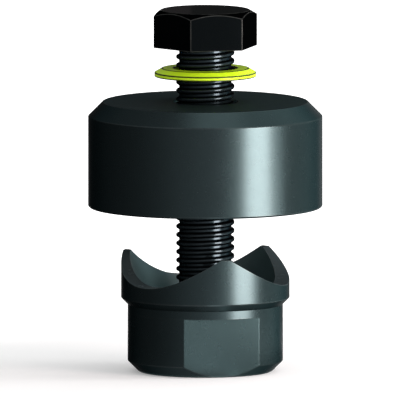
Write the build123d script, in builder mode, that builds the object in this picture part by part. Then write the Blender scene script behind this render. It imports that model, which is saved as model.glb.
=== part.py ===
from build123d import *

import os
from math import cos, radians, sin, sqrt, tan

# A knockout punch for sheet metal. A hex draw bolt passes down through a washer and a cup-shaped
# die and screws into a three-tipped punch below, so that turning it draws the punch through a
# panel and into the die. Sizes are in millimetres, +Z is up, and the origin is the middle of the
# punch's underside. One tip, one spanner flat and one face of the bolt's head look towards -Y.

# Draw bolt
thread_d = 12.0  # over the crests of a coarse M12 thread, which is left plain here
head_across_flats = 19.0
head_h = 7.65
head_top_d = 18.1  # flat top inside the corner chamfer
head_chamfer_angle = 30.0
bolt_end_chamfer = 1.2
bolt_end_recess = 1.85  # how far the bolt's end stands above the punch's underside

# Washer
washer_d = 20.9
washer_h = 1.76
washer_rim_h = 0.86  # straight rim below the bevel
washer_bevel_w = 1.55  # width of the sloping ring, seen from above

# Die
die_wall = 6.62
die_h = 21.75
die_roof = 7.6
die_top_chamfer = 3.0
die_rim_chamfer = 0.33
die_hole_chamfer = 0.4
cavity_corner_r = 1.5

# Punch
punch_d = 34.6  # the size of the hole that it cuts
body_step = 1.37  # the body below the cutting ring is smaller by this on the radius
body_h = 13.82  # from the underside to the step
base_chamfer = 2.2
valley_h = 18.25  # from the underside to the lowest point of the cutting rim
tip_rise = 6.25
tip_count = 3
scallop_r = 20.0  # at the outside of the rim
scallop_narrowing = 0.33  # narrower inwards, by this share of the way in
flat_depth = 2.13  # leaves 27.6 across the two spanner flats
flat_stop = 1.68  # full round left between the flats and the step
thread_h = 12.0  # length of the threaded bore, up to the floor of the bowl
rim_wall = 3.25  # at the lowest point of the rim
rim_taper = 17.0  # the bowl opens upwards by this angle on each side
bowl_corner_r = 2.0
bore_countersink = 0.5

# Fits, all on the radius
thread_clearance = 0.05
bolt_hole_clearance = 0.5
cutting_clearance = 0.15

# Room between the pieces as they stand on the bolt
panel_room = 9.3  # from the tips to the die's face
die_to_washer = 5.2
washer_to_head = 4.35

# Heights that follow
tip_z = valley_h + tip_rise
die_z = tip_z + panel_room
washer_z = die_z + die_h + die_to_washer
head_z = washer_z + washer_h + washer_to_head

# Radii that follow
thread_r = thread_d / 2
bolt_hole_r = thread_r + bolt_hole_clearance
punch_r = punch_d / 2
body_r = punch_r - body_step
cavity_r = punch_r + cutting_clearance
die_r = cavity_r + die_wall


def section_plane(z):
    """The plane of a half section that turns about the axis: X outwards, Y upwards from z."""
    return Plane(origin=(0, 0, z), x_dir=(1, 0, 0), z_dir=(0, -1, 0))


# Draw bolt: a hexagon cut back by a shallow cone, on a shank with a chamfered end
head_top_r = head_top_d / 2
blank_r = head_across_flats / 2 / cos(radians(30)) + 1  # a little outside the hexagon's corners
blank_side_h = head_h - (blank_r - head_top_r) * tan(radians(head_chamfer_angle))

with BuildPart() as draw_bolt:
    with BuildSketch(Plane.XY.offset(head_z)):
        RegularPolygon(radius=head_across_flats / 2, side_count=6, major_radius=False)
    extrude(amount=head_h)
    with BuildSketch(section_plane(head_z)):
        with BuildLine():
            Polyline(
                (0, 0),
                (blank_r, 0),
                (blank_r, blank_side_h),
                (head_top_r, head_h),
                (0, head_h),
                close=True,
            )
        make_face()
    revolve(axis=Axis.Z, mode=Mode.INTERSECT)
    with BuildSketch(Plane.XY.offset(head_z)):
        Circle(thread_r)
    extrude(amount=bolt_end_recess - head_z)
    bolt_end = draw_bolt.edges().filter_by(GeomType.CIRCLE).sort_by(Axis.Z)[0]
    chamfer(bolt_end, length=bolt_end_chamfer)
draw_bolt.part.label = "draw_bolt"

# Washer: a flat ring with a straight rim and a sloping bevel up to its top face
washer_r = washer_d / 2

with BuildPart() as washer:
    with BuildSketch(section_plane(washer_z)):
        with BuildLine():
            Polyline(
                (bolt_hole_r, 0),
                (washer_r, 0),
                (washer_r, washer_rim_h),
                (washer_r - washer_bevel_w, washer_h),
                (bolt_hole_r, washer_h),
                close=True,
            )
        make_face()
    revolve(axis=Axis.Z)
washer.part.label = "washer"

# Die: a cup, open downwards, whose mouth is the cutting edge
cavity_h = die_h - die_roof

with BuildPart() as die:
    with BuildSketch(section_plane(die_z)):
        with BuildLine():
            Polyline(
                (cavity_r, 0),
                (die_r - die_rim_chamfer, 0),
                (die_r, die_rim_chamfer),
                (die_r, die_h - die_top_chamfer),
                (die_r - die_top_chamfer, die_h),
                (bolt_hole_r + die_hole_chamfer, die_h),
                (bolt_hole_r, die_h - die_hole_chamfer),
                (bolt_hole_r, cavity_h),
                (cavity_r, cavity_h),
                close=True,
            )
        section = make_face()
        cavity_corner = section.vertices().sort_by_distance((cavity_r, cavity_h))[0]
        fillet(cavity_corner, radius=cavity_corner_r)
    revolve(axis=Axis.Z)
die.part.label = "die"

# Punch: a turned bowl with a threaded floor, two spanner flats, and a rim scalloped into tips
bore_r = thread_r + thread_clearance
spread = tan(radians(rim_taper))
bowl_floor_r = punch_r - rim_wall - (valley_h - thread_h) * spread
bowl_mouth_r = punch_r - rim_wall + tip_rise * spread


def scallop_edge(radius, bearing):
    """The line that a scallop follows at a radius, round from one tip to the next."""
    steps = 24
    reach = punch_r - scallop_narrowing * (punch_r - radius)
    points = []
    for step in range(steps + 1):
        aside = radians((step / steps - 0.5) * 360 / tip_count)
        height = valley_h + scallop_r - sqrt(scallop_r**2 - (reach * sin(aside)) ** 2)
        points.append((radius * cos(bearing + aside), radius * sin(bearing + aside), height))
    return Edge.make_spline(points, parameters=[step / steps for step in range(steps + 1)])


with BuildPart() as punch:
    with BuildSketch(section_plane(0)):
        with BuildLine():
            Polyline(
                (bore_r + bore_countersink, 0),
                (body_r - base_chamfer, 0),
                (body_r, base_chamfer),
                (body_r, body_h),
                (punch_r, body_h + body_step),
                (punch_r, tip_z),
                (bowl_mouth_r, tip_z),
                (bowl_floor_r, thread_h),
                (bore_r + bore_countersink, thread_h),
                (bore_r, thread_h - bore_countersink),
                (bore_r, bore_countersink),
                close=True,
            )
        section = make_face()
        bowl_corner = section.vertices().sort_by_distance((bowl_floor_r, thread_h))[0]
        fillet(bowl_corner, radius=bowl_corner_r)
    revolve(axis=Axis.Z)

    # Each scallop runs along straight lines outwards from the axis, between two tips
    for number in range(tip_count):
        bearing = radians(-90 + (number + 0.5) * 360 / tip_count)
        cut = Face.make_surface_from_curves(
            scallop_edge(punch_r / 2, bearing), scallop_edge(punch_r + 1, bearing)
        )
        extrude(cut, amount=2 * tip_rise, dir=(0, 0, 1), mode=Mode.SUBTRACT)

    # The spanner flats stop short of the step
    flat_offset = body_r - flat_depth
    with BuildSketch(Plane.XY):
        with Locations((0, flat_offset + flat_depth), (0, -flat_offset - flat_depth)):
            Rectangle(2 * body_r, 2 * flat_depth)
    extrude(amount=body_h - flat_stop, mode=Mode.SUBTRACT)
punch.part.label = "punch"

os.makedirs("parts", exist_ok=True)
for piece in (draw_bolt, washer, die, punch):
    export_step(piece.part, f"parts/{piece.part.label}.step")
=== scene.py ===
import math
from functools import cached_property

import bmesh
import bpy
import numpy as np
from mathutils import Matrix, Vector


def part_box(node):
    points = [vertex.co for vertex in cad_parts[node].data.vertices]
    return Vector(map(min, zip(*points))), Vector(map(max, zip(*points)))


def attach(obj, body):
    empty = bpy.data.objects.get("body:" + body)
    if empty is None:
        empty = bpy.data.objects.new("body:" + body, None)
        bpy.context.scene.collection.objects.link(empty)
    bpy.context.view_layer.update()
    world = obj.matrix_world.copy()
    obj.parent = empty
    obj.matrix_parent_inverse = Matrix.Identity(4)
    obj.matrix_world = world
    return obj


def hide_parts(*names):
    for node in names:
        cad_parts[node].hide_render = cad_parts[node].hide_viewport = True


# The looks of a knockout punch: a black hex draw bolt with a real thread, a lime washer, and a
# blackened die and punch, on a pale floor. Piece sizes are in millimetres, and the stage's are in
# metres. The front, towards -Y, carries one punch tip, one spanner flat and one bolt head face.

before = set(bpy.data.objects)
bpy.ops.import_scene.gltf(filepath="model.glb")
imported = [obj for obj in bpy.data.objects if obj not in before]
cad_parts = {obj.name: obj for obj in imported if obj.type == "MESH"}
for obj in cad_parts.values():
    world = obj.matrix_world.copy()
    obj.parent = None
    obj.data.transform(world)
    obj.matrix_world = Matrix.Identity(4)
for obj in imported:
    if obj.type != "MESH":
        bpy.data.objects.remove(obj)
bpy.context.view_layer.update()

MM = 0.001


def node_box(node):
    """The lowest and highest corners of a CAD node, in millimetres."""
    low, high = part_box(node)
    return low / MM, high / MM


_, punch_high = node_box("punch")
die_low, die_high = node_box("die")
washer_low, washer_high = node_box("washer")
bolt_low, bolt_high = node_box("draw_bolt")

# Thread, shared by the bolt and by the punch's bore
THREAD_R = 6.0
THREAD_PITCH = 1.75
ROOT_R = 5.38
THREAD_SIDE = (  # offset along the axis from a crest's middle, and radius, from crest to root
    (0.11, THREAD_R),
    (0.23, THREAD_R - 0.035),
    (0.35, THREAD_R - 0.10),
    (0.63, ROOT_R + 0.05),
    (0.69, ROOT_R),
)
THREAD_PLAY = 0.06  # by which the bore's thread is wider, on the radius
CREST_BEARING = math.radians(166)  # a crest crosses this bearing at CREST_Z
CREST_Z = 29.82

# Edges
EDGE = 0.10  # width of a broken edge
KEEN_EDGE = 0.05  # width on the cutting rims
LEAST_EDGE = 0.001  # keeps an edge's rows where it has run out
EDGE_MARGIN = 0.10  # a wear mark fades out over this
EDGE_SHARE = 0.4  # most of a side that the edge at one end of it takes

# Draw bolt
HEAD_FLAT = (bolt_high.y - bolt_low.y) / 2
HEAD_H = 7.65
HEAD_TOP_R = 9.05
HEAD_CHAMFER = math.radians(30)
HEAD_CORNER_R = 0.16
HEAD_SIDES = 6
BOLT_END_CHAMFER = 1.2
CREST_WEAR = 0.15
CORNER_DEPTH = 0.01  # points this near to a corner of the head are worn with it

# Washer
BOLT_HOLE_R = 6.5
WASHER_RIM_H = 0.86
WASHER_BEVEL_W = 1.55
WASHER_MARK = 0.10  # width of the dark line beside each broken edge

# Die
DIE_TOP_CHAMFER = 3.0
DIE_RIM_CHAMFER = 0.33
DIE_HOLE_CHAMFER = 0.4
DIE_CAVITY_R = 17.45
DIE_ROOF = 7.6
CAVITY_CORNER_R = 1.5

# Punch
PUNCH_R = punch_high.x
BODY_R = PUNCH_R - 1.37
BODY_H = 13.82
BASE_CHAMFER = 2.2
STEP = PUNCH_R - BODY_R
VALLEY_Z = 18.25
TIP_Z = punch_high.z
TIP_COUNT = 3
SCALLOP_R = 20.0
SCALLOP_NARROWING = 0.33
SCALLOP_REACH = (PUNCH_R / 2, PUNCH_R + 1)  # its straight lines run between these radii
CAP_MARGIN = 0.15  # from a tip's cap to the rim's edges, at least
FLAT_OFFSET = BODY_R - 2.13
FLAT_TOP = BODY_H - 1.68
LEDGE_RISE = 0.002  # across the ledge over a flat
FLAT_EDGE_BEARING = math.degrees(math.acos(FLAT_OFFSET / BODY_R))
FLAT_EDGE_WEAR = 0.1
BOWL_FLOOR_Z = 12.0
RIM_WALL = 3.25
BOWL_SLOPE = math.tan(math.radians(17))
BOWL_CORNER_R = 2.0
COUNTERSINK = 0.5
BORE_MOUTH_R = THREAD_R + 0.05 + COUNTERSINK

# How finely round shapes are cut, in degrees
TURNED_STEP = 1.5
PUNCH_STEP = 1.0
BOLT_STEP = 3.0
HEAD_CORNER_SPAN = 0.45  # either side of a corner of the hexagon
FLAT_EDGE_SPAN = 0.12  # either side of an edge of a flat
FLAT_EDGE_ROOM = 0.7  # from there to the next column
CAP_END_SPAN = 0.02  # past an end of a tip's cap
PUNCH_CLEAR = 0.9  # of even columns, about the tips and the edges of the flats
FILLET_STEPS = 8  # faces round a fillet, whatever its angle
RIM_ROUNDS = 30  # of closing in on where the rim meets the hollow's wall

# How piece meshes are cleaned and shaded
WELD = 2e-4
SLIVER = 1e-5
SHARP_ANGLE = math.radians(35)

# Camera, in degrees and millimetres
CAMERA_AZIMUTH = -14.0
CAMERA_ELEVATION = 6.3
FRAME_WIDTH = 82.09
FRAME_MIDDLE_Z = 35.19
FRAME_SHIFT = 1.088


def off_nearest(value, centre, period):
    """How far a value is from the nearest of centre, centre + period and so on."""
    return (value - centre + period / 2) % period - period / 2


def towards(corner, other, distance):
    """The point at a distance from corner on the way to other, never past EDGE_SHARE of it."""
    span = np.subtract(other, corner)
    length = np.hypot(*span)
    if length < 1e-9:
        return corner
    return tuple(np.add(corner, span * min(distance / length, EDGE_SHARE)))


def break_edges(corners, loop=True, mark=0.0):
    """Cuts the corners of an outline. A corner is (r, z, width of its broken edge), and the result
    is (r, z, wear) points. Wear is 1 on the broken edge, and up to mark past it, then it fades."""
    outline = []
    count = len(corners)
    for index, (r, z, width) in enumerate(corners):
        at_end = not loop and index in (0, count - 1)
        if width == 0 or at_end:
            outline.append((r, z, 0.0))
            continue
        before = corners[index - 1][:2]
        after = corners[(index + 1) % count][:2]
        outline.append((*towards((r, z), before, width + mark + EDGE_MARGIN), 0.0))
        if mark:
            outline.append((*towards((r, z), before, width + mark), 1.0))
        outline.append((*towards((r, z), before, width), 1.0))
        outline.append((*towards((r, z), after, width), 1.0))
        if mark:
            outline.append((*towards((r, z), after, width + mark), 1.0))
        outline.append((*towards((r, z), after, width + mark + EDGE_MARGIN), 0.0))
    return outline


def fillet(corner, before, after, radius):
    """Points of a round corner between two straight sides, as corners with no broken edge."""
    corner, before, after = (np.array(point, float) for point in (corner, before, after))
    inwards = (before - corner) / np.hypot(*(before - corner))
    onwards = (after - corner) / np.hypot(*(after - corner))
    half = math.acos(np.clip(inwards @ onwards, -1, 1)) / 2
    middle = inwards + onwards
    centre = corner + middle / np.hypot(*middle) * radius / math.sin(half)
    start = corner + inwards * radius / math.tan(half) - centre
    end = corner + onwards * radius / math.tan(half) - centre
    turn = math.atan2(start[0] * end[1] - start[1] * end[0], start @ end)
    points = []
    for step in range(FILLET_STEPS + 1):
        angle = turn * step / FILLET_STEPS
        x = start[0] * math.cos(angle) - start[1] * math.sin(angle)
        y = start[0] * math.sin(angle) + start[1] * math.cos(angle)
        points.append((centre[0] + x, centre[1] + y, 0.0))
    return points


def column_mesh(name, bearings, profiles, loop=True):
    """A piece made of one profile for each bearing, from 0 to a full turn inclusive, where the last
    meets the first. With loop, each profile is closed, and otherwise it runs from axis to axis."""
    profiles = np.array(profiles, float)
    bearings = np.array(bearings, float)
    columns, rows = profiles.shape[:2]
    xyz = np.empty((columns, rows, 3))
    xyz[:, :, 0] = profiles[:, :, 0] * np.cos(bearings)[:, None]
    xyz[:, :, 1] = profiles[:, :, 0] * np.sin(bearings)[:, None]
    xyz[:, :, 2] = profiles[:, :, 1]
    here = np.arange(columns * rows).reshape(columns, rows)
    above = np.roll(here, -1, axis=1)
    last = rows if loop else rows - 1
    corners = (here[:-1, :last], here[1:, :last], above[1:, :last], above[:-1, :last])
    quads = np.stack(corners, axis=-1).reshape(-1, 4)
    mesh = bpy.data.meshes.new(name)
    mesh.from_pydata((xyz.reshape(-1, 3) * MM).tolist(), [], quads.tolist())
    wear = mesh.attributes.new("wear", "FLOAT", "POINT")
    wear.data.foreach_set("value", profiles[:, :, 2].ravel().astype(np.float32))
    shape = bmesh.new()
    shape.from_mesh(mesh)
    bmesh.ops.remove_doubles(shape, verts=shape.verts, dist=WELD * MM)
    bmesh.ops.dissolve_degenerate(shape, edges=shape.edges, dist=SLIVER * MM)
    bmesh.ops.recalc_face_normals(shape, faces=shape.faces)
    shape.to_mesh(mesh)
    shape.free()
    mesh.shade_smooth()
    mesh.set_sharp_from_angle(angle=SHARP_ANGLE)
    piece = bpy.data.objects.new(name, mesh)
    bpy.context.scene.collection.objects.link(piece)
    piece.modifiers.new("even_shading", "WEIGHTED_NORMAL").keep_sharp = True
    return piece


def bearings_with(step, special=(), clear=0.0):
    """Bearings in radians from 0 to a full turn, every step degrees, where those within clear of a
    special centre give way to it. A special entry is a centre and its offsets, in degrees."""
    degrees = [index * step for index in range(round(360 / step) + 1)]
    for centre, _ in special:
        degrees = [value for value in degrees if abs(off_nearest(value, centre, 360)) > clear]
    for centre, offsets in special:
        degrees.extend((centre + offset) % 360 for offset in offsets)
    degrees = sorted(set(round(value, 6) for value in degrees) | {0.0})
    if degrees[-1] < 360:
        degrees.append(360.0)
    return [math.radians(value) for value in degrees]


def turned_piece(name, corners, mark=0.0):
    """A piece whose outline, with its edges broken, is turned about the axis."""
    outline = break_edges(corners, mark=mark)
    bearings = bearings_with(TURNED_STEP)
    return column_mesh(name, bearings, [outline] * len(bearings))


# Thread
THREAD_OUTLINE = tuple((-offset, radius) for offset, radius in reversed(THREAD_SIDE)) + THREAD_SIDE


def crest_z(bearing):
    """Height of a crest's middle at a bearing; the other crests lie whole pitches from it."""
    return CREST_Z + (bearing - CREST_BEARING) / (2 * math.pi) * THREAD_PITCH


def thread_radius(bearing, z):
    """The bolt's radius at a bearing and height, on an endless right-hand thread."""
    offset = abs(off_nearest(z, crest_z(bearing), THREAD_PITCH))
    return float(np.interp(offset, *zip(*THREAD_SIDE)))


def thread_rows(bearing, low, high):
    """(z, r) up the thread from low to high at a bearing. Every bearing has as many rows, each
    follows the helix from one bearing to the next, and rows past an end are gathered on it."""
    first = math.floor((low - CREST_Z) / THREAD_PITCH) - 2
    last = math.ceil((high - CREST_Z) / THREAD_PITCH) + 2
    rows = []
    for turn in range(first, last + 1):
        for offset, radius in THREAD_OUTLINE:
            z = crest_z(bearing) + turn * THREAD_PITCH + offset
            if low < z < high:
                rows.append((z, radius))
            else:
                end = low if z <= low else high
                rows.append((end, thread_radius(bearing, end)))
    return rows


# Draw bolt
def head_radius(bearing):
    """The hexagon's radius at a bearing, with its six corners rounded."""
    angle = math.radians(abs(off_nearest(math.degrees(bearing), -90, 360 / HEAD_SIDES)))
    half = math.pi / HEAD_SIDES
    inner = HEAD_FLAT - HEAD_CORNER_R
    if angle <= math.atan2(inner * math.tan(half), HEAD_FLAT):
        return HEAD_FLAT / math.cos(angle)
    centre = inner / math.cos(half)
    across = centre * math.sin(half - angle)
    return centre * math.cos(half - angle) + math.sqrt(HEAD_CORNER_R**2 - across**2)


def bolt_profile(bearing):
    """(r, z, wear) from the middle of the bolt's end, up its thread, to the middle of its head."""
    head_z = bolt_high.z - HEAD_H
    end_z = bolt_low.z
    profile = [(0.0, end_z, 0.0)]
    for z, radius in thread_rows(bearing, end_z, head_z):
        end_radius = THREAD_R - BOLT_END_CHAMFER + (z - end_z)
        wear = CREST_WEAR if radius == THREAD_R else 0.0
        profile.append((min(radius, end_radius), z, wear))
    outer = head_radius(bearing)
    chamfer_z = bolt_high.z - (outer - HEAD_TOP_R) * math.tan(HEAD_CHAMFER)
    head = break_edges(
        [
            (thread_radius(bearing, head_z), head_z, 0),
            (outer, head_z, EDGE),
            (outer, chamfer_z, EDGE / 2),
            (HEAD_TOP_R, bolt_high.z, EDGE / 2),
            (0.0, bolt_high.z, 0),
        ],
        loop=False,
    )
    if abs(off_nearest(math.degrees(bearing), 0, 360 / HEAD_SIDES)) < HEAD_CORNER_SPAN:
        head = [(r, z, 1.0 if r > outer - CORNER_DEPTH else wear) for r, z, wear in head]
    return profile + head[1:]


corner_offsets = [
    side * share * HEAD_CORNER_SPAN for share in (0, 1 / 3, 2 / 3, 0.99, 2) for side in (1, -1)
]
head_corners = [(360 / HEAD_SIDES * corner, corner_offsets) for corner in range(HEAD_SIDES)]
bolt_bearings = bearings_with(BOLT_STEP, head_corners, clear=2.5 * HEAD_CORNER_SPAN)
draw_bolt = column_mesh(
    "draw_bolt_threaded",
    bolt_bearings,
    [bolt_profile(bearing) for bearing in bolt_bearings],
    loop=False,
)

# Washer
washer_z = washer_low.z
washer_r = washer_high.x
washer = turned_piece(
    "washer_bevelled",
    [
        (BOLT_HOLE_R, washer_z, EDGE / 2),
        (washer_r, washer_z, EDGE),
        (washer_r, washer_z + WASHER_RIM_H, EDGE / 2),
        (washer_r - WASHER_BEVEL_W, washer_high.z, EDGE / 2),
        (BOLT_HOLE_R, washer_high.z, EDGE),
    ],
    mark=WASHER_MARK,
)

# Die
die_z = die_low.z
die_r = die_high.x
ceiling_z = die_high.z - DIE_ROOF
ceiling_corner = fillet(
    (DIE_CAVITY_R, ceiling_z), (BOLT_HOLE_R, ceiling_z), (DIE_CAVITY_R, die_z), CAVITY_CORNER_R
)
die = turned_piece(
    "die_turned",
    [
        (DIE_CAVITY_R, die_z, KEEN_EDGE),
        (die_r - DIE_RIM_CHAMFER, die_z, KEEN_EDGE),
        (die_r, die_z + DIE_RIM_CHAMFER, KEEN_EDGE),
        (die_r, die_high.z - DIE_TOP_CHAMFER, EDGE),
        (die_r - DIE_TOP_CHAMFER, die_high.z, EDGE),
        (BOLT_HOLE_R + DIE_HOLE_CHAMFER, die_high.z, KEEN_EDGE),
        (BOLT_HOLE_R, die_high.z - DIE_HOLE_CHAMFER, KEEN_EDGE),
        (BOLT_HOLE_R, ceiling_z, EDGE),
        *ceiling_corner,
    ],
)


# Punch
def scallop_ends(bearing):
    """Heights of a scallop's straight line at its inner and outer ends."""
    valley = 180 / TIP_COUNT - 90
    aside = math.sin(math.radians(off_nearest(math.degrees(bearing), valley, 360 / TIP_COUNT)))
    heights = []
    for radius in SCALLOP_REACH:
        across = (PUNCH_R - SCALLOP_NARROWING * (PUNCH_R - radius)) * aside
        heights.append(VALLEY_Z + SCALLOP_R - math.sqrt(SCALLOP_R**2 - across**2))
    return heights


def rim_z(radius, bearing):
    """Height of the scalloped rim, under the cap that the tips end in."""
    return min(float(np.interp(radius, SCALLOP_REACH, scallop_ends(bearing))), TIP_Z)


def bowl_radius(z):
    """Radius of the hollow's sloping wall at a height."""
    return PUNCH_R - RIM_WALL + (z - VALLEY_Z) * BOWL_SLOPE


def cap_radius(bearing):
    """Where a tip's flat cap ends inwards."""
    heights = scallop_ends(bearing)
    if heights[1] <= TIP_Z:
        return PUNCH_R
    return float(np.interp(TIP_Z, heights, SCALLOP_REACH))


def rim_inside(bearing):
    """(r, z) where the rim meets the hollow's wall, closed in on by turns."""
    z = VALLEY_Z
    for _ in range(RIM_ROUNDS):
        radius = bowl_radius(z)
        z = rim_z(radius, bearing)
    return radius, z


def punch_profile(bearing):
    """(r, z, wear) from the underside, up the outside, over the rim and down the bowl and bore."""
    from_flat = abs(off_nearest(math.degrees(bearing), -90, 180))
    flat_r = BODY_R
    if from_flat < FLAT_EDGE_BEARING:
        flat_r = FLAT_OFFSET / math.cos(math.radians(from_flat))
    ledge = EDGE / 2 if flat_r < BODY_R - EDGE else LEAST_EDGE
    base_r = BODY_R - BASE_CHAMFER
    inner_r, inner_z = rim_inside(bearing)
    cap_r = min(max(cap_radius(bearing), inner_r + CAP_MARGIN), PUNCH_R - CAP_MARGIN)

    corners = [
        (base_r, 0.0, EDGE),
        (flat_r, flat_r - base_r, EDGE / 2),
        (flat_r, FLAT_TOP, 0),
        (BODY_R, FLAT_TOP + LEDGE_RISE, ledge),
        (BODY_R, BODY_H, 0),
        (PUNCH_R, BODY_H + STEP, EDGE),
        (PUNCH_R, rim_z(PUNCH_R, bearing), KEEN_EDGE),
        (cap_r, rim_z(cap_r, bearing), 0),
        (inner_r, inner_z, KEEN_EDGE),
    ]
    floor_corner = (bowl_radius(BOWL_FLOOR_Z), BOWL_FLOOR_Z)
    bore_mouth = (BORE_MOUTH_R, BOWL_FLOOR_Z)
    corners += fillet(floor_corner, (inner_r, inner_z), bore_mouth, BOWL_CORNER_R)
    corners.append((*bore_mouth, KEEN_EDGE))

    # The bore's own rows take the place of the last two corners
    into_bore = (BORE_MOUTH_R - COUNTERSINK, BOWL_FLOOR_Z - COUNTERSINK, 0)
    outline = break_edges(corners + [into_bore, (BORE_MOUTH_R, 0.0, 0)])[:-2]
    if abs(from_flat - FLAT_EDGE_BEARING) < 2 * FLAT_EDGE_SPAN:
        outline = [
            (r, z, FLAT_EDGE_WEAR if r == flat_r and EDGE < z < FLAT_TOP - EDGE else wear)
            for r, z, wear in outline
        ]
    bore = []
    for z, radius in reversed(thread_rows(bearing, 0.0, BOWL_FLOOR_Z)):
        from_end = min(z, BOWL_FLOOR_Z - z)
        bore.append((max(radius + THREAD_PLAY, BORE_MOUTH_R - from_end), z, 0.0))
    return outline + bore


# Bearings at which a tip's cap or a flat ends get columns of their own
cap_across = math.sqrt(SCALLOP_R**2 - (SCALLOP_R - TIP_Z + VALLEY_Z) ** 2)
cap_half = 180 / TIP_COUNT - math.degrees(math.asin(cap_across / PUNCH_R))
cap_end = cap_half + CAP_END_SPAN
cap_offsets = (-cap_end, -cap_half / 2, 0.0, cap_half / 2, cap_end)
edge_offsets = (-FLAT_EDGE_ROOM, -FLAT_EDGE_SPAN, FLAT_EDGE_SPAN, FLAT_EDGE_ROOM)
special_bearings = [(360 / TIP_COUNT * tip - 90, cap_offsets) for tip in range(TIP_COUNT)]
special_bearings += [
    (middle + side * FLAT_EDGE_BEARING, edge_offsets) for middle in (90, -90) for side in (1, -1)
]
punch_bearings = bearings_with(PUNCH_STEP, special_bearings, clear=PUNCH_CLEAR)
punch = column_mesh(
    "punch_scalloped", punch_bearings, [punch_profile(bearing) for bearing in punch_bearings]
)

PIECES = (
    (punch, "punch", "punch_steel", "punch"),
    (die, "die", "die_steel", "die"),
    (draw_bolt, "bolt", "bolt_steel", "draw_bolt"),
    (washer, "washer", "washer_lime", "washer"),
)
for piece, body, slot, node in PIECES:
    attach(piece, body)
    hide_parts(node)


# Materials. Colours are linear, and a grazing colour is what a steel mirrors at a shallow angle.
BLACKENED = (0.049, 0.075, 0.078)
BLACKENED_GRAZING = (0.38, 0.385, 0.39)
BLACKENED_ROUGHNESS = 0.27
DIE_EDGE = (0.12, 0.15, 0.15)
DIE_TOP_ROUGHER = 0.18
PUNCH_EDGE = (0.14, 0.17, 0.17)
# Painted light: the punch's hollow is painted paler than the steel outside it, and paler still
# deeper down, where the tips and the die shade it
HOLLOW_PAINTED_LIGHT = (0.102, 0.160, 0.166)
DEEP_PAINTED_LIGHT = (0.145, 0.222, 0.230)
HOLLOW_DEPTH = 3  # under the tips, where the hollow's painted light starts to turn into the paler deep one
RIM_COLOUR = (0.052, 0.070, 0.075)
FLAT_COLOUR = (0.055, 0.090, 0.093)
RIM_MATT = 0.7  # less metallic by this
BOWL_MATT = 0.6
BOWL_ROUGHER = 0.3
BLACK_OXIDE = (0.038, 0.054, 0.061)
BLACK_OXIDE_GRAZING = (0.0, 0.0, 0.0)
BLACK_OXIDE_ROUGHNESS = 0.16
BLACK_OXIDE_METAL = 0.9
BOLT_EDGE = (0.065, 0.068, 0.064)
BOLT_EDGE_MATT = 0.6
HEAD_COLOUR = (0.0045, 0.0058, 0.0064)
# Painted shade: the thread's flanks are darkened between crest and root, as if they faced away from
# the light
FLANK_PAINTED_SHADE = (0.008, 0.010, 0.012)
FLANK_HALF = 0.27  # on the radius, from the middle of a flank to where its painted shade has faded out
LIME = (0.59, 0.885, 0.011)
LIME_EDGE = (0.012, 0.016, 0.003)
EDGE_POLISH = 0.06  # less rough by this on a worn edge
ROUGHNESS_DRIFT = 0.008
RIM_UPWARDS = 0.3  # least upward part of a normal on the rim
SKIN = 0.01  # a mask reaches past its face by one to ten of these
NOISE_REACH = (0.25, 0.75)  # what a noise mostly stays between
GROOVE_MIX = 1.31  # of the radius with the height, so that no slope of the part is left smooth


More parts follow.
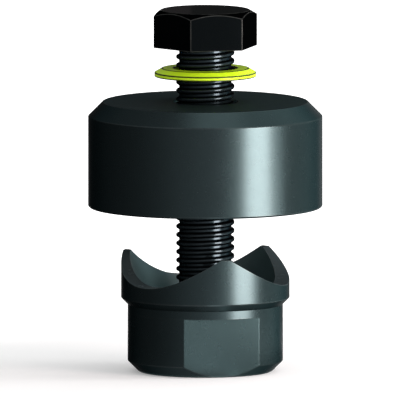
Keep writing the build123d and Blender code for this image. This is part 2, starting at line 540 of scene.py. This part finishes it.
class Nodes:
    """The node tree of a material or of the world, and the few calls that build it."""

    def __init__(self, owner, output):
        self.owner = owner
        owner.use_nodes = True
        self.tree = owner.node_tree
        self.tree.nodes.clear()
        self.output = self.tree.nodes.new(output)

    def show(self, shader):
        """Ends the tree in a shader, and returns the material or world that it belongs to."""
        self.feed(self.output.inputs["Surface"], shader.outputs[0])
        return self.owner

    def add(self, kind, inputs=(), **settings):
        node = self.tree.nodes.new(kind)
        for key, value in settings.items():
            setattr(node, key, value)
        for key, value in dict(inputs).items():
            self.feed(node.inputs[key], value)
        return node

    def feed(self, socket, value):
        if isinstance(value, bpy.types.NodeSocket):
            self.tree.links.new(value, socket)
        else:
            socket.default_value = value

    def math(self, operation, first, second=0.0):
        inputs = {0: first, 1: second}
        return self.add("ShaderNodeMath", inputs, operation=operation).outputs[0]

    def mix(self, factor, first, second):
        """The first colour where the factor is 0, and the second where it is 1."""
        node = self.add("ShaderNodeMix", {"Factor": factor}, data_type="RGBA")
        for key, colour in (("A", first), ("B", second)):
            self.feed(node.inputs[key], (*colour, 1) if isinstance(colour, tuple) else colour)
        return node.outputs["Result"]

    def ramp(self, value, start, end, low=0.0, high=1.0):
        """Low where the value is at start, high where it is at end, and even between them."""
        inputs = {"Value": value, "From Min": start, "From Max": end, "To Min": low, "To Max": high}
        return self.add("ShaderNodeMapRange", inputs).outputs["Result"]

    @cached_property
    def position(self):
        """The piece's own coordinates, in millimetres."""
        inputs = {0: self.add("ShaderNodeTexCoord").outputs["Object"], "Scale": 1 / MM}
        return self.add("ShaderNodeVectorMath", inputs, operation="SCALE").outputs[0]

    @cached_property
    def xyz(self):
        return self.add("ShaderNodeSeparateXYZ", {0: self.position}).outputs

    @cached_property
    def radius(self):
        """Distance from the axis, in millimetres."""
        x, y, _ = self.xyz
        squares = self.math("ADD", self.math("MULTIPLY", x, x), self.math("MULTIPLY", y, y))
        return self.math("SQRT", squares)

    def above(self, level):
        """1 higher up than a level, and 0 below it."""
        return self.math("GREATER_THAN", self.xyz[2], level)

    def noise(self, scale, detail):
        """Cloudy noise, about scale clouds to a millimetre."""
        inputs = {"Vector": self.position, "Scale": scale, "Detail": detail}
        return self.add("ShaderNodeTexNoise", inputs).outputs["Fac"]

    def clouds(self, scale, detail, low, high):
        """Cloudy noise that drifts between low and high."""
        return self.ramp(self.noise(scale, detail), *NOISE_REACH, low, high)

    def tint(self, colour, scale, less, more):
        """A colour in clouds of less to more times itself."""
        darker = tuple(part * less for part in colour)
        lighter = tuple(part * more for part in colour)
        return self.mix(self.clouds(scale, detail=4.0, low=0.0, high=1.0), darker, lighter)

    def wear(self, least):
        """How worn the edges are, patchily, from least to 1."""
        mark = self.add("ShaderNodeAttribute", attribute_name="wear").outputs["Fac"]
        patches = self.clouds(scale=0.8, detail=4.0, low=least, high=1.0)
        return self.math("MULTIPLY", mark, patches)

    def bump(self, relief, distance, normal=None):
        """A normal with a relief on it, of up to a distance in millimetres, over another normal."""
        inputs = {"Height": relief, "Strength": 1.0, "Distance": distance * MM}
        node = self.add("ShaderNodeBump", inputs)
        if normal is not None:
            self.feed(node.inputs["Normal"], normal)
        return node.outputs["Normal"]

    def grooves(self, per_mm):
        """Fine turning marks, which run round the axis on sides, faces and slopes alike."""
        along = self.math("ADD", self.xyz[2], self.math("MULTIPLY", self.radius, GROOVE_MIX))
        inputs = {"W": along, "Scale": per_mm, "Detail": 2.0}
        return self.add("ShaderNodeTexNoise", inputs, noise_dimensions="1D").outputs["Fac"]


def material_nodes(name):
    return Nodes(bpy.data.materials.new(name), "ShaderNodeOutputMaterial")


def in_bowl(nodes):
    """1 on the wall and floor of the punch's hollow, and 0 elsewhere."""
    rise = nodes.math("MULTIPLY", nodes.xyz[2], BOWL_SLOPE)
    wall = nodes.math("ADD", rise, bowl_radius(0) + 3 * SKIN)
    inside = nodes.math("LESS_THAN", nodes.radius, wall)
    return nodes.math("MULTIPLY", inside, nodes.above(BOWL_FLOOR_Z - 5 * SKIN))


def on_rim(nodes, bowl):
    """1 on the cut faces of the punch's rim, and 0 elsewhere."""
    normal = nodes.add("ShaderNodeTexCoord").outputs["Normal"]
    upwards = nodes.add("ShaderNodeSeparateXYZ", {0: normal}).outputs[2]
    level = nodes.math("GREATER_THAN", upwards, RIM_UPWARDS)
    rim = nodes.math("MULTIPLY", level, nodes.above(VALLEY_Z - 10 * SKIN))
    return nodes.math("MULTIPLY", rim, nodes.math("SUBTRACT", 1.0, bowl))


def on_flat(nodes):
    """1 on the punch's two spanner flats, and 0 elsewhere."""
    beyond = nodes.math("SUBTRACT", nodes.math("ABSOLUTE", nodes.xyz[1]), FLAT_OFFSET)
    level = nodes.math("LESS_THAN", nodes.math("ABSOLUTE", beyond), 2 * SKIN)
    over = nodes.above(FLAT_TOP + SKIN)
    return nodes.math("MULTIPLY", level, nodes.math("SUBTRACT", 1.0, over))


def punch_dress(nodes, tone, wear):
    """Painted light in the hollow, paler deeper down where shade falls, and a rim and flats with
    colours of their own.
    """
    bowl = in_bowl(nodes)
    rim = on_rim(nodes, bowl)
    # Painted light: the hollow is painted paler than the steel, and paler still deeper down, where
    # the tips and the die shade it
    depth = nodes.ramp(nodes.xyz[2], TIP_Z - HOLLOW_DEPTH, BOWL_FLOOR_Z)
    tone = nodes.mix(bowl, tone, nodes.mix(depth, HOLLOW_PAINTED_LIGHT, DEEP_PAINTED_LIGHT))
    tone = nodes.mix(rim, tone, RIM_COLOUR)
    tone = nodes.mix(on_flat(nodes), tone, FLAT_COLOUR)
    matt_rim = nodes.math("MULTIPLY", rim, RIM_MATT)
    matt_bowl = nodes.math("MULTIPLY", bowl, BOWL_MATT)
    metal = nodes.math("SUBTRACT", 1.0, nodes.math("MAXIMUM", matt_rim, matt_bowl))
    return tone, metal, nodes.math("MULTIPLY", bowl, BOWL_ROUGHER)


def die_dress(nodes, tone, wear):
    """A rougher top face."""
    top = nodes.above(die_high.z - SKIN)
    return tone, 1.0, nodes.math("MULTIPLY", top, DIE_TOP_ROUGHER)


def bolt_dress(nodes, tone, wear):
    """Painted shade on the thread's flanks, a head with its own colour, and edges that are less
    metallic.
    """
    # Painted shade: the flanks, halfway between root and crest, are darkened as if shaded
    off_middle = nodes.math("SUBTRACT", nodes.radius, (ROOT_R + THREAD_R) / 2)
    off_flank = nodes.ramp(nodes.math("ABSOLUTE", off_middle), FLANK_HALF / 2, FLANK_HALF)
    tone = nodes.mix(off_flank, FLANK_PAINTED_SHADE, tone)
    tone = nodes.mix(nodes.above(bolt_high.z - HEAD_H - SKIN), tone, HEAD_COLOUR)
    matt = nodes.math("MULTIPLY", wear, BOLT_EDGE_MATT)
    return tone, nodes.math("SUBTRACT", BLACK_OXIDE_METAL, matt), 0.0


def steel(name, dress, colour, roughness, edge_colour, edge_share, grazing, turned):
    """A dark steel with worn edges and a fine grain. Its dress takes the nodes, the tone and the
    wear, and gives the tone, how bare the metal is, and what comes on top of the roughness."""
    nodes = material_nodes(name)
    wear = nodes.wear(least=0.35)
    tone = nodes.tint(colour, scale=0.35, less=0.97, more=1.03)
    tone, metal, rougher = dress(nodes, tone, wear)
    tone = nodes.mix(nodes.math("MULTIPLY", wear, edge_share), tone, edge_colour)
    low, high = roughness - ROUGHNESS_DRIFT, roughness + ROUGHNESS_DRIFT
    finish = nodes.clouds(scale=0.6, detail=5.0, low=low, high=high)
    finish = nodes.math("SUBTRACT", finish, nodes.math("MULTIPLY", wear, EDGE_POLISH))
    normal = nodes.bump(nodes.noise(scale=9.0, detail=2.0), distance=0.0004)
    if turned:
        normal = nodes.bump(nodes.grooves(per_mm=3.0), distance=0.0007, normal=normal)
    inputs = {
        "Base Color": tone,
        "Metallic": metal,
        "Roughness": nodes.math("ADD", finish, rougher),
        "Specular IOR Level": 0.0,
        "Specular Tint": (*grazing, 1),
        "Normal": normal,
    }
    return nodes.show(nodes.add("ShaderNodeBsdfPrincipled", inputs))


def lime_coating():
    """A semi-gloss coating with dark lines along its edges."""
    nodes = material_nodes("lime_coating")
    tone = nodes.tint(LIME, scale=0.5, less=0.93, more=1.05)
    inputs = {
        "Base Color": nodes.mix(nodes.wear(least=0.9), tone, LIME_EDGE),
        "Metallic": 0.0,
        "Roughness": nodes.clouds(scale=1.4, detail=3.0, low=0.42, high=0.52),
        "Specular IOR Level": 0.2,
        "Coat Weight": 0.08,
        "Coat Roughness": 0.15,
        "Normal": nodes.bump(nodes.noise(scale=3.0, detail=2.0), distance=0.004),
    }
    return nodes.show(nodes.add("ShaderNodeBsdfPrincipled", inputs))


blackened_punch = steel(
    "blackened_punch",
    punch_dress,
    BLACKENED,
    BLACKENED_ROUGHNESS,
    edge_colour=PUNCH_EDGE,
    edge_share=0.5,
    grazing=BLACKENED_GRAZING,
    turned=True,
)
blackened_die = steel(
    "blackened_die",
    die_dress,
    BLACKENED,
    BLACKENED_ROUGHNESS,
    edge_colour=DIE_EDGE,
    edge_share=0.5,
    grazing=BLACKENED_GRAZING,
    turned=True,
)
black_oxide = steel(
    "black_oxide_bolt",
    bolt_dress,
    BLACK_OXIDE,
    BLACK_OXIDE_ROUGHNESS,
    edge_colour=BOLT_EDGE,
    edge_share=0.9,
    grazing=BLACK_OXIDE_GRAZING,
    turned=False,
)
punch.data.materials.append(blackened_punch)
die.data.materials.append(blackened_die)
draw_bolt.data.materials.append(black_oxide)
washer.data.materials.append(lime_coating())

# Stage, in metres. A card is seen by reflections alone. It lies at its lift from the inner to the
# outer radius and stands up from there to its top, and its radiance follows (azimuth, radiance)
# pairs. Azimuths are in degrees from the camera's side, positive to the camera's right.
WHITE = (1.0, 1.0, 1.0)
DARK_TINT = (1.0, 0.94, 0.97)
LIGHT_TINT = (0.95, 1.0, 1.0)
FLAT_TINT = (0.97, 0.97, 1.0)
KEY_TINT = (1.0, 0.81, 0.79)
KEY_RADIANCE = 13.0
CARD_STEP = 3  # degrees
DARK_SIDE = (
    (-178, 0.12),
    (-166, 0.06),
    (-150, 0.055),
    (-118, 0.05),
    (-74, 0.09),
    (-56, 0.13),
    (-40, 0.19),
    (-25, 0.28),
    (0, 0.42),
    (13, 0.50),
    (21, 0.68),
)
HIGH_SIDE = ((-178, 0.18), (-100, 0.17), (-60, 0.28), (-20, 0.45))
BRIGHT_SIDE = ((21, 1.0), (30, 0.80))
NEAR_SIDE = ((30, 0.55), (160, 0.55))
UNDER_FLAT = ((2, 0.85), (10, 1.05), (16, 1.05), (22, 0.78), (28, 0.56), (36, 0.42))
LIGHT_SIDE = (
    (71, 0.50),
    (85, 0.60),
    (110, 0.92),
    (135, 1.10),
    (150, 0.55),
    (165, 0.09),
    (182, 0.10),
)
BACK_SIDE = ((150, 0.20), (162, 0.55), (185, 0.60), (200, 0.45), (212, 0.15))
KEY_SIDE = ((39, KEY_RADIANCE), (66, KEY_RADIANCE))
CARDS = (  # name, pairs, tint, inner radius, outer radius, lift, top
    ("dark_card", DARK_SIDE, DARK_TINT, 0.0135, 0.085, 0.0004, 0.30),
    ("high_card", HIGH_SIDE, DARK_TINT, 0.083, 0.084, 0.075, 0.48),
    ("bright_card", BRIGHT_SIDE, LIGHT_TINT, 0.0135, 0.085, 0.0004, 0.30),
    ("near_card", NEAR_SIDE, LIGHT_TINT, 0.0135, 0.045, 0.0004, 0.0005),
    ("flat_card", UNDER_FLAT, FLAT_TINT, 0.020, 0.084, 0.0007, 0.0008),
    ("light_card", LIGHT_SIDE, LIGHT_TINT, 0.085, 0.086, 0.0004, 0.30),
    ("back_card", BACK_SIDE, WHITE, 0.0135, 0.080, 0.0006, 0.040),
    ("key_in_floor", KEY_SIDE, KEY_TINT, 0.085, 0.30, 0.0004, 0.0005),
)
LIGHT_AIM = (0, 0, 0.035)
FLOOR_HALF = 3.0
FLOOR_Z = -0.00005
FLOOR_TONE = (0.8, 0.8, 0.8)
FLOOR_GLOW = (60.0, 200.0, 0.25, 1.0)  # two distances from the axis, in mm, and the glow at each
WORLD_LEFT = 0.4  # what the world sends as a light from either side
WORLD_RIGHT = 1.2


def place(name, data, location, aim=None):
    """An object at a location, which looks at its aim if it has one."""
    thing = bpy.data.objects.new(name, data)
    bpy.context.scene.collection.objects.link(thing)
    thing.location = location
    if aim is not None:
        thing.rotation_euler = (Vector(aim) - Vector(location)).to_track_quat("-Z", "Y").to_euler()
    return thing


def around(azimuth, distance, height):
    """A point at an azimuth, a distance from the axis and a height."""
    turn = math.radians(CAMERA_AZIMUTH + azimuth)
    return Vector((math.sin(turn) * distance, -math.cos(turn) * distance, height))


def seen_directly(nodes):
    """1 for a ray of the camera, a gloss or glass, and 0 for one that only carries light."""
    rays = nodes.add("ShaderNodeLightPath").outputs
    seen = nodes.math("MAXIMUM", rays["Is Camera Ray"], rays["Is Glossy Ray"])
    return nodes.math("MAXIMUM", seen, rays["Is Transmission Ray"])


def stage_floor():
    """A pale floor that takes the object's shadow, looks white away from it, and is clear from
    below."""
    half = FLOOR_HALF
    mesh = bpy.data.meshes.new("floor")
    corners = [(-half, -half, 0), (half, -half, 0), (half, half, 0), (-half, half, 0)]
    mesh.from_pydata(corners, [], [(0, 1, 2, 3)])
    floor = place("floor", mesh, (0, 0, FLOOR_Z))
    nodes = material_nodes("pale_floor")
    away = nodes.add("ShaderNodeVectorMath", {0: nodes.position}, operation="LENGTH")
    level = nodes.ramp(away.outputs["Value"], *FLOOR_GLOW)
    strength = nodes.math("MULTIPLY", seen_directly(nodes), level)
    glow = nodes.add("ShaderNodeEmission", {"Color": (*WHITE, 1), "Strength": strength})
    pale = nodes.add("ShaderNodeBsdfDiffuse", {"Color": (*FLOOR_TONE, 1)})
    both = nodes.add("ShaderNodeAddShader", {0: pale.outputs[0], 1: glow.outputs[0]})
    below = nodes.add("ShaderNodeNewGeometry").outputs["Backfacing"]
    clear = nodes.add("ShaderNodeBsdfTransparent")
    sides = {0: below, 1: both.outputs[0], 2: clear.outputs[0]}
    mesh.materials.append(nodes.show(nodes.add("ShaderNodeMixShader", sides)))


def stage_card(name, pairs, tint, inner, outer, lift, top):
    """A sheet that glows, lies round the axis and is folded up at its outer radius."""
    azimuths, levels = zip(*pairs)
    count = round((azimuths[-1] - azimuths[0]) / CARD_STEP)
    points, tones, faces = [], [], []
    for index in range(count + 1):
        azimuth = azimuths[0] + (azimuths[-1] - azimuths[0]) * index / count
        for distance, z in ((inner, lift), (outer, lift), (outer, top)):
            points.append(tuple(around(azimuth, distance, z)))
            tones.append(float(np.interp(azimuth, azimuths, levels)))
    for index in range(count):
        for here in (3 * index, 3 * index + 1):
            faces.append((here, here + 3, here + 4, here + 1))
    mesh = bpy.data.meshes.new(name)
    mesh.from_pydata(points, [], faces)
    mesh.attributes.new("tone", "FLOAT", "POINT").data.foreach_set("value", tones)
    card = place(name, mesh, (0, 0, 0))
    card.visible_camera = card.visible_diffuse = card.visible_shadow = False
    nodes = material_nodes(name)
    level = nodes.add("ShaderNodeAttribute", attribute_name="tone").outputs["Fac"]
    glow = nodes.add("ShaderNodeEmission", {"Color": (*tint, 1), "Strength": level})
    mesh.materials.append(nodes.show(glow))


def softbox(name, azimuth, distance, height, size, power):
    """A rectangular light that looks at the part, and that the camera doesn't see."""
    light = bpy.data.lights.new(name, "AREA")
    light.shape = "RECTANGLE"
    light.size, light.size_y = size
    light.energy = power
    box = place(name, light, around(azimuth, distance, height), LIGHT_AIM)
    box.visible_camera = False
    return box


def studio_world():
    """White where the camera, a gloss or glass sees it, and stronger from the right as a light."""
    nodes = Nodes(bpy.data.worlds.new("studio"), "ShaderNodeOutputWorld")
    direction = nodes.add("ShaderNodeTexCoord").outputs["Generated"]
    inputs = {0: direction, 1: around(90, 1.0, 0.0)}
    to_right = nodes.add("ShaderNodeVectorMath", inputs, operation="DOT_PRODUCT").outputs["Value"]
    level = nodes.ramp(to_right, -1.0, 1.0, WORLD_LEFT, WORLD_RIGHT)
    inputs = {"Factor": seen_directly(nodes), "A": level, "B": 1.0}
    strength = nodes.add("ShaderNodeMix", inputs).outputs["Result"]
    inputs = {"Color": (*WHITE, 1), "Strength": strength}
    return nodes.show(nodes.add("ShaderNodeBackground", inputs))


stage_floor()
for card in CARDS:
    stage_card(*card)
key = softbox("key", azimuth=51.6, distance=0.30, height=0.055, size=(0.131, 0.17), power=0.93)
key.data.color = KEY_TINT
fill = softbox("fill", azimuth=92, distance=0.30, height=0.060, size=(0.12, 0.12), power=0.8)
fill.visible_glossy = False
bpy.context.scene.world = studio_world()

# Camera
elevation = math.radians(CAMERA_ELEVATION)
target = Vector((0, 0, FRAME_MIDDLE_Z * MM)) - around(90, FRAME_SHIFT * MM, 0)
eye = target + around(0, math.cos(elevation), math.sin(elevation))
camera_data = bpy.data.cameras.new("camera")
camera_data.type = "ORTHO"
camera_data.ortho_scale = FRAME_WIDTH * MM
camera_data.clip_start = 0.01
camera_data.clip_end = 10
bpy.context.scene.camera = place("camera", camera_data, eye, target)
bpy.context.scene.view_settings.view_transform = "Standard"
